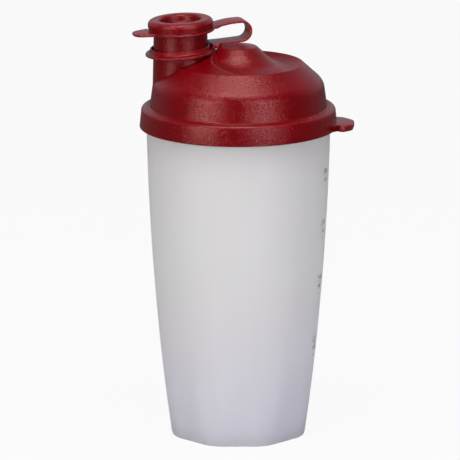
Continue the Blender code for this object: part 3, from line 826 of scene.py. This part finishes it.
def lid_outline(lid):
    """The lid's section: down the dome, over the ledge, round the band, and up the rim's channel and the seal
    wall to the ledge."""
    fine, edge = 0.3 * mm, 0.4 * mm
    crease_middle, crease_end = 0.9 * mm, 1.5 * mm
    ledge = lid.ledge
    foot = lid_radii(lid)[0]
    band_top = lid.band_radius - lid.band_flare
    band_bottom = ledge - lid.band_depth
    inner = lid.band_radius - lid.band_wall
    channel_top = ledge - lid.ledge_wall
    seal_bottom = channel_top - lid.seal_depth
    seal_outer, seal_inner = seal_radii(lid)
    dome = with_steps(dome_path(lid, 0)[:-1], lid.step)
    return dome + rounded_path([
        dome[-1], (foot, ledge, fine), (foot + crease_middle, ledge - lid.crease, fine),
        (foot + crease_end, ledge, edge), (band_top, ledge - lid.ledge_fall, lid.band_round),
        (lid.band_radius, band_bottom, edge), (inner, band_bottom, edge), (inner, channel_top, fine),
        (seal_outer, channel_top, fine), (seal_outer, seal_bottom, edge), (seal_inner, seal_bottom, edge),
        (seal_inner, ledge)], closed=False)[1:]


def spout_wall(lid, spout, place):
    """The spout as a solid stub, with a bead round its lip."""
    longest = 1.5 * mm
    top = lid.ledge + spout.height
    lip = spout.top_radius + spout.bead
    bead_bottom = top - spout.bead_depth
    wall = rounded_path([(0, top), (lip, top, spout.lip_round), (lip, bead_bottom, spout.lip_round / 2),
                         (spout.top_radius, bead_bottom - spout.bead * 2), (spout.foot_radius, lid.ledge),
                         (0, lid.ledge)], closed=False)
    return turned("spout", with_steps(wall, longest), spout.around, place=place)


def pull_tab(lid):
    """The tab at the band's lower edge, with a root that follows the band."""
    root_depth_share = 0.6
    root_shares = (0.6, 0.2, -0.2, -0.6, -1)
    root = lid.band_radius - lid.band_wall * root_depth_share
    side = lid.band_radius + lid.tab_side
    tip = lid.band_radius + lid.tab_reach
    half, half_tip = lid.tab_width / 2, lid.tab_tip_width / 2
    spread = math.asin(half / root)
    outline = rounded_path([(side, -half, lid.tab_side_round), (tip, -half_tip, lid.tab_tip_round),
                            (tip, half_tip, lid.tab_tip_round), (side, half, lid.tab_side_round),
                            (root * math.cos(spread), half)], pieces=12)
    outline += [Vector((root * math.cos(spread * part), root * math.sin(spread * part)))
                for part in root_shares]
    place = (Matrix.Translation((0, 0, lid.ledge - lid.band_depth + lid.tab_thickness / 2))
             @ Matrix.Rotation(lid.tab_turn, 4, "Z"))
    return slab("tab", outline, lid.tab_thickness, lid.tab_edge, place)


def lid_room(lid):
    """The hollow under the dome, down to the top of the seal wall."""
    coarser_share, past = 1.6, 1 * mm
    seal_inner = seal_radii(lid)[1]
    room = with_steps(dome_path(lid, lid.wall)[:-1], lid.step * coarser_share)
    room += [(seal_inner, lid.ledge), (seal_inner, lid.ledge - past), (0, lid.ledge - past)]
    return turned("room", room, lid.around, shape=pressed(lid))


def spout_bore(lid, spout, place):
    """The spout's bore, from past its lip, where its edge is broken, down through the dome."""
    bevel, past = 0.3 * mm, 2 * mm
    top = lid.ledge + spout.height
    bottom = lid.ledge + lid.ledge_wall
    bore_top = spout.top_radius - spout.wall
    bore = rounded_path([(0, top + past), (bore_top + bevel, top + past), (bore_top + bevel, top),
                         (bore_top, top - bevel), (spout.foot_radius - spout.wall, bottom), (0, bottom)],
                        closed=False)
    return turned("bore", bore, spout.around, place=place)


def build_lid(lid, spout):
    """The lid's body. It has an open fault: Blender's exact boolean varies here from run to run, and often
    leaves the end of the bore's cutter in the lid's hollow, where it closes the spout."""
    centre = Matrix.Translation((spout_x(lid, spout), 0, 0))
    body = turned("lid_body", lid_outline(lid), lid.around, shape=pressed(lid))
    close_loop(body)
    body = combine(body, spout_wall(lid, spout, centre))
    body = combine(body, pull_tab(lid))
    body = combine(body, lid_room(lid), "DIFFERENCE")
    return combine(body, spout_bore(lid, spout, centre), "DIFFERENCE")


def close_loop(solid):
    """Fill the open end of a turned mesh with one flat face."""
    with edited(solid.data) as form:
        bmesh.ops.holes_fill(form, edges=[edge for edge in form.edges if edge.is_boundary])


# Strap, ring and cap
class StrapLine:
    """The strap's centre line in its own upright plane, whose X runs out from the spout's axis."""

    def __init__(self, lid, spout, cap, strap):
        stride_share = 1.2
        self.strap = strap
        self.cap = cap
        self.knob_top = lid.ledge + lid.knob
        self.spout_x = spout_x(lid, spout)
        lip = spout.top_radius + spout.bead
        self.skirt = lip + cap.skirt_gap
        self.plug = spout.top_radius - spout.wall - cap.plug_gap
        spout_top = lid.ledge + spout.height
        self.cap_base = spout_top + lip * math.sin(cap.tilt) + lid.seat_gap + cap.roof - cap.height
        self.ring_inner = spout.foot_radius + strap.ring_gap
        self.ring_outer = self.ring_inner + strap.ring_width
        self.ring_base = self.knob_top - strap.ring_sink
        low = self.knob_top + lid.seat_gap + strap.thickness / 2
        self.bend_start = abs(self.spout_x) + strap.past_knob
        self.entry = Vector((self.bend_start, low + strap.past_knob * math.sin(strap.rise)))
        self.bend = math.pi - strap.rise
        meet = self.cap_base + cap.radius * math.sin(cap.tilt) + strap.meet
        reach = self.bend_start - cap.radius
        fall = strap.crown_radius - math.sqrt(strap.crown_radius ** 2 - reach ** 2)
        self.radius = (meet + fall - self.entry.y) / (1 + math.cos(strap.rise))
        self.centre = self.entry + self.radius * Vector((-math.sin(strap.rise), math.cos(strap.rise)))
        self.hinge = self.bend / 2
        self.stride = strap.step * stride_share

    def frame(self):
        return Matrix.Translation((self.spout_x, 0, 0)) @ Matrix.Rotation(self.cap.turn, 4, "Z")

    def on_bend(self, turn):
        """A point on the bend and the direction of the strap there."""
        heading = self.strap.rise + turn
        point = self.centre + self.radius * Vector((math.sin(heading), -math.cos(heading)))
        return point, Vector((math.cos(heading), math.sin(heading)))

    def on_low(self, reach):
        rise = self.strap.rise
        along = Vector((math.cos(rise), math.sin(rise)))
        return self.entry - (self.bend_start - reach) / math.cos(rise) * along, along

    def on_crown(self, reach):
        top = self.on_bend(self.bend)[0]
        centre = top - Vector((0, self.strap.crown_radius))
        turn = math.asin((reach - top.x) / self.strap.crown_radius)
        out = Vector((math.sin(turn), math.cos(turn)))
        return centre + self.strap.crown_radius * out, Vector((-out.y, out.x))

    def world(self, point):
        return tuple(cup_axis @ self.frame() @ Vector((point.x, 0, point.y)))


def ribbon(name, stations, strap, place):
    """A strip through stations of (point, direction, outer thickness, inner thickness, width), closed at both
    ends. The outer side is to the right of the direction."""
    rings = []
    for point, along, outer, inner, width in stations:
        right = Vector((along.y, -along.x))
        edge = min(strap.edge, (outer + inner) * corner_share)
        half = width / 2
        corners = rounded_path([(half, outer, edge), (-half, outer, edge), (-half, -inner, edge),
                                (half, -inner, edge)], pieces=3)
        ring = []
        for across, off in corners:
            spot = point + right * off
            ring.append((spot.x, across, spot.y))
        rings.append(ring)
    solid = from_rings(name, rings, capped=True)
    solid.data.transform(place)
    return solid


def softened(value, first, last):
    """From 0 to 1 as the value passes from first to last, soft at both ends."""
    part = min(1, max(0, (value - first) / (last - first)))
    return part * part * (3 - 2 * part)


def run_width(strap, soft):
    """Width of a run of the strap, which is wider at its thick root, where soft is 0."""
    root_width_share = 0.12
    return strap.width * (1 + root_width_share * (1 - soft))


def arc_stations(line, first, last):
    half = line.strap.thickness / 2
    pieces = max(4, math.ceil((last - first) * line.radius / line.strap.step))
    turns = [first + (last - first) * step / pieces for step in range(pieces + 1)]
    return [(*line.on_bend(turn), half, half, line.strap.width) for turn in turns]


def build_ring(line):
    strap = line.strap
    inner_edge, outer_edge, flare, flare_round, around = 0.2 * mm, 0.35 * mm, 0.6 * mm, 1.0 * mm, 120
    land = line.ring_inner + strap.ring_land
    outline = rounded_path([(land, strap.ring_height, strap.ring_round),
                            (land + flare, strap.ring_edge + flare, flare_round),
                            (line.ring_outer, strap.ring_edge, outer_edge), (line.ring_outer, 0, outer_edge),
                            (line.ring_inner, 0, inner_edge),
                            (line.ring_inner, strap.ring_height, inner_edge)], pieces=3)
    place = (line.frame() @ Matrix.Translation((0, 0, line.ring_base))
             @ Matrix.Rotation(-strap.ring_tilt, 4, "Y"))
    ring = turned("strap_ring", outline, around, closed=True, place=place)

    half = strap.thickness / 2
    root_bottom = line.ring_base + line.ring_outer * math.sin(strap.ring_tilt) + strap.ring_edge
    thick_end = line.ring_outer + strap.root_reach * 2
    stations = []
    reach = line.ring_inner + half
    while reach < line.bend_start:
        point, along = line.on_low(reach)
        soft = softened(reach, line.ring_outer, thick_end)
        outer = (point.y - root_bottom) * (1 - soft) + half * soft
        stations.append((point, along, outer, half, run_width(strap, soft)))
        reach += line.stride
    stations += arc_stations(line, 0, line.hinge)
    return combine(ring, ribbon("lower_run", stations, strap, line.frame()))


def build_cap(line):
    cap, strap = line.cap, line.strap
    inner_edge, root_overlap, root_drop, longest = 0.3 * mm, 0.9 * mm, 1.6 * mm, 1.4 * mm
    roof = cap.height - cap.roof
    dish = line.plug - cap.dish_wall
    flange = cap.radius + cap.flange
    outline = [(0, cap.dish_floor), (dish - cap.plug_taper, cap.dish_floor, cap.dish_round),
               (dish + cap.lip_round / 3, cap.height, cap.lip_round),
               (cap.radius, cap.height, cap.shoulder_round),
               (cap.radius - cap.waist, cap.flange_thickness, cap.flange),
               (flange, cap.flange_thickness, cap.flange), (flange, 0, cap.flange),
               (line.skirt, 0, cap.flange), (line.skirt, roof, inner_edge), (line.plug, roof, inner_edge),
               (line.plug - cap.plug_taper, 0, cap.plug_round), (0, 0)]
    middle = line.cap_base + cap.height / 2
    place = (line.frame() @ Matrix.Translation((0, 0, middle)) @ Matrix.Rotation(-cap.tilt, 4, "Y")
             @ Matrix.Translation((0, 0, line.cap_base - middle)))
    path = with_steps(rounded_path(outline, closed=False, pieces=8), longest)
    body = turned("plug_cap", path, cap.around, place=place)

    root = line.skirt + root_overlap
    tip = cap.radius + cap.tab_reach
    half_root, half_tip = cap.tab_width / 2, cap.tab_width / 2 - cap.tab_round / 3
    tab = rounded_path([(-root, half_root), (-tip, half_tip, cap.tab_round), (-tip, -half_tip, cap.tab_round),
                        (-root, -half_root)], pieces=14)
    lifted = place @ Matrix.Translation((0, 0, cap.tab_thickness / 2))
    body = combine(body, slab("cap_tab", tab, cap.tab_thickness, cap.tab_edge, lifted))

    half = strap.thickness / 2
    root_bottom = line.cap_base + root * math.sin(cap.tilt) + cap.flange_thickness / 2
    thick_end = cap.radius + strap.root_reach * 2
    stations = arc_stations(line, line.hinge, line.bend)
    reach = line.on_bend(line.bend)[0].x - strap.step
    while reach > root:
        point, along = line.on_crown(reach)
        soft = softened(reach, cap.radius, thick_end)
        inner = min(point.y - root_bottom, half + root_drop) * (1 - soft) + half * soft
        stations.append((point, along, half, inner, run_width(strap, soft)))
        reach -= line.stride
    return combine(body, ribbon("upper_run", stations, strap, line.frame()))


# Mixing wheel
def wheel_band(name, wheel, outer, inner, top, bottom):
    """A turned band of the wheel, with rounded edges."""
    corners = ((outer, top), (outer, bottom), (inner, bottom), (inner, top))
    section = rounded_path([(*corner, wheel.edge) for corner in corners], pieces=3)
    return turned(name, section, wheel.around, closed=True)


def build_blades(wheel, inner_end, outer_end, middle):
    """The blades, which lean and sweep on their way out from the hub to the outer band."""
    edge_share = 0.9
    half, thick = wheel.blade_height / 2, wheel.blade_thickness / 2
    corners = ((thick, half), (-thick, half), (-thick, -half), (thick, -half))
    section = rounded_path([(*corner, thick * edge_share) for corner in corners], pieces=3)
    blades = bpy.data.meshes.new("blades")
    with edited(blades) as form:
        for blade in range(wheel.blades):
            rings = []
            for span in range(wheel.spans + 1):
                part = span / wheel.spans
                radius = inner_end + (outer_end - inner_end) * part
                swept = 2 * math.pi * blade / wheel.blades + wheel.sweep * part
                lean = wheel.lean * math.sin(math.pi / 2 * min(1, radius / wheel.band_radius)) / 2
                ring = []
                for across, up in section:
                    turn = swept + (across + lean * up / half) / radius
                    ring.append((radius * math.cos(turn), radius * math.sin(turn), middle + up))
                rings.append(ring)
            one = from_rings("blade", rings, capped=True)
            form.from_mesh(one.data)
            bpy.data.objects.remove(one, do_unlink=True)
    return new_object("blades", blades)


def build_wheel(wheel, lid):
    hub_around = 72
    outer = seal_radii(lid)[1] - wheel.gap
    top = lid.ledge - lid.ledge_wall
    middle = top - wheel.height / 2
    half_wall, half_band, half_hub = wheel.wall / 2, wheel.band_height / 2, wheel.hub_height / 2
    hub = rounded_path([(0, middle + half_hub), (wheel.hub_radius, middle + half_hub, wheel.hub_round),
                        (wheel.hub_radius, middle - half_hub, wheel.hub_round), (0, middle - half_hub)],
                       closed=False)
    body = wheel_band("mixing_wheel_body", wheel, outer, outer - wheel.wall, top, top - wheel.height)
    body = combine(body, build_blades(wheel, wheel.hub_radius - wheel.wall, outer - half_wall, middle))
    wide, small = wheel.band_radius + half_wall, wheel.band_radius - half_wall
    body = combine(body, wheel_band("ring", wheel, wide, small, middle + half_band, middle - half_band))
    return combine(body, turned("hub", hub, hub_around))


# Operators
def sizes(context):
    return context.scene.mixing_cup


class BuildCup(bpy.types.Operator):
    """Build the milky cup with its eight-sided foot, and the scale on its side"""
    bl_idname = "mixing_cup.build_cup"
    bl_label = "Cup and scale"

    def execute(self, context):
        kit = sizes(context)
        cup = wear(build_cup(kit.cup), milky_plastic(kit.finish))
        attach(cup, "cup")
        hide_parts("cup")
        marks = wear(build_scale(kit.cup, kit.scale), mark_plastic(kit.finish))
        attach(marks, "cup")
        return {"FINISHED"}


class BuildLid(bpy.types.Operator):
    """Build the grained crimson lid with its band, dome, spout and pull tab"""
    bl_idname = "mixing_cup.build_lid"
    bl_label = "Lid"

    def execute(self, context):
        kit = sizes(context)
        lid = wear(build_lid(kit.lid, kit.spout), crimson_plastic(kit.finish))
        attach(lid, "lid")
        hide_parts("lid")
        return {"FINISHED"}


class BuildWheel(bpy.types.Operator):
    """Build the mixing wheel that clips up inside the lid"""
    bl_idname = "mixing_cup.build_wheel"
    bl_label = "Mixing wheel"

    def execute(self, context):
        kit = sizes(context)
        wheel = wear(build_wheel(kit.wheel, kit.lid), pale_plastic(kit.finish))
        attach(wheel, "wheel")
        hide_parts("mixing_wheel")
        return {"FINISHED"}


class BuildStrap(bpy.types.Operator):
    """Build the plug cap, its strap and the ring round the spout"""
    bl_idname = "mixing_cup.build_strap"
    bl_label = "Cap, strap and ring"

    def execute(self, context):
        kit = sizes(context)
        line = StrapLine(kit.lid, kit.spout, kit.cap, kit.strap)
        crimson = bpy.data.materials["crimson_grained"]
        apex = line.on_bend(line.hinge)[0]
        spans = [(build_ring, "retaining_ring", Vector((0, kit.strap.flex_low))),
                 (build_cap, "spout_cap", Vector((-kit.strap.flex_back, kit.strap.flex_high)))]
        for build, node, span in spans:
            piece = wear(build(line), crimson)
            line.world(apex - span)
            line.world(apex + span)
            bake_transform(piece)
            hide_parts(node)
        return {"FINISHED"}


# The stage, in metres: each softbox's place, tint, width and height, and what they light and stand on
softboxes = {
    "left": ((-0.80, -0.90, 0.42), (1, 0.98, 0.95), 0.26, 0.60),
    "right": ((0.62, -1.00, 0.42), (0.94, 0.92, 1), 0.26, 0.60),
    "top": ((-0.02, -0.28, 0.95), (1, 0.99, 1), 0.75, 0.30),
}
lit_point = (axis_x, 0, 0.12)
floor_half = 4.0
floor_cloud = 0.4
sensor_width = 36
farthest = 20
white = (1, 1, 1, 1)
cool_white = (0.91, 0.90, 1, 1)


def softbox(side, power_used):
    place, tint, width, height = softboxes[side]
    name = side + "_softbox"
    light = bpy.data.lights.new(name, "AREA")
    light.shape = "RECTANGLE"
    light.size = width
    light.size_y = height
    light.energy = power_used
    light.color = tint
    lamp = new_object(name, light)
    lamp.location = place
    lamp.rotation_euler = (Vector(lit_point) - Vector(place)).to_track_quat("-Z", "Y").to_euler()


def floor_material(stage):
    """A pale floor that shows nearly white to the camera and still keeps the object's shadow."""
    recipe = Recipe(bpy.data.materials.new("stage_floor"))
    cloud = recipe.between(recipe.noise(floor_cloud, 1), *noise_span, 0, 0.1)
    tone = recipe.mix(cloud, shade(stage.floor), shade(stage.floor, 1.1))
    matte = recipe.node("ShaderNodeBsdfDiffuse", None, {"Color": tone})
    glow = recipe.node("ShaderNodeEmission", None, {"Color": white, "Strength": 1.0})
    seen = recipe.node("ShaderNodeLightPath", output="Is Camera Ray")
    return recipe.finish(recipe.node("ShaderNodeMixShader", None,
                                     {0: seen * stage.floor_light, 1: matte, 2: glow}))


def studio_world(stage):
    """Even light that is dim in front of the cup and bright behind it, like a white backdrop."""
    recipe = Recipe(bpy.data.worlds.new("studio"), "ShaderNodeOutputWorld")
    direction = recipe.node("ShaderNodeTexCoord", output="Generated")
    back = recipe.node("ShaderNodeSeparateXYZ", None, {0: direction}, "Y")
    front_edge, back_edge = -0.25, 0.45
    strength = recipe.between(back, front_edge, back_edge, stage.ambient, stage.backdrop)
    return recipe.finish(recipe.node("ShaderNodeBackground", None,
                                     {"Color": cool_white, "Strength": strength}))


class BuildStage(bpy.types.Operator):
    """Build the floor, the softboxes, the even light and the camera"""
    bl_idname = "mixing_cup.build_stage"
    bl_label = "Stage"

    def execute(self, context):
        stage = sizes(context).stage
        scene = context.scene
        corners = [(-floor_half, -floor_half, 0), (floor_half, -floor_half, 0), (floor_half, floor_half, 0),
                   (-floor_half, floor_half, 0)]
        mesh = bpy.data.meshes.new("floor")
        mesh.from_pydata(corners, [], [(0, 1, 2, 3)])
        mesh.materials.append(floor_material(stage))
        new_object("floor", mesh)

        for side in softboxes:
            softbox(side, getattr(stage, side))
        scene.world = studio_world(stage)

        data = bpy.data.cameras.new("photo_camera")
        data.sensor_width = sensor_width
        data.lens = stage.lens
        data.clip_end = farthest
        camera = new_object("photo_camera", data)
        camera.location = (axis_x - stage.camera_side, -stage.camera_distance, stage.camera_height)
        camera.rotation_euler = (stage.camera_pitch, 0, 0)
        scene.camera = camera
        scene.view_settings.view_transform = "Standard"
        return {"FINISHED"}


class MixingCupPanel(bpy.types.Panel):
    """Lists the operators of the mixing cup"""
    bl_idname = "VIEW3D_PT_mixing_cup"
    bl_label = "Mixing cup"
    bl_space_type = "VIEW_3D"
    bl_region_type = "UI"
    bl_category = "Mixing cup"

    def draw(self, context):
        for operator in steps:
            self.layout.operator(operator.bl_idname)


steps = (BuildCup, BuildLid, BuildWheel, BuildStrap, BuildStage)
groups = (CupSizes, ScaleSizes, LidSizes, SpoutSizes, CapSizes, StrapSizes, WheelSizes, Finishes,
          StageSettings, MixingCup)


def register():
    for kind in (*groups, *steps, MixingCupPanel):
        bpy.utils.register_class(kind)
    bpy.types.Scene.mixing_cup = PointerProperty(type=MixingCup)


def unregister():
    del bpy.types.Scene.mixing_cup
    for kind in reversed((*groups, *steps, MixingCupPanel)):
        bpy.utils.unregister_class(kind)


def main():
    register()
    for thing in list(bpy.data.objects):
        if thing.name in ("Cube", "Light", "Camera"):
            bpy.data.objects.remove(thing, do_unlink=True)
    bpy.ops.mixing_cup.build_cup()
    bpy.ops.mixing_cup.build_lid()
    bpy.ops.mixing_cup.build_wheel()
    bpy.ops.mixing_cup.build_strap()
    bpy.ops.mixing_cup.build_stage()


if __name__ == "__main__":
    main()
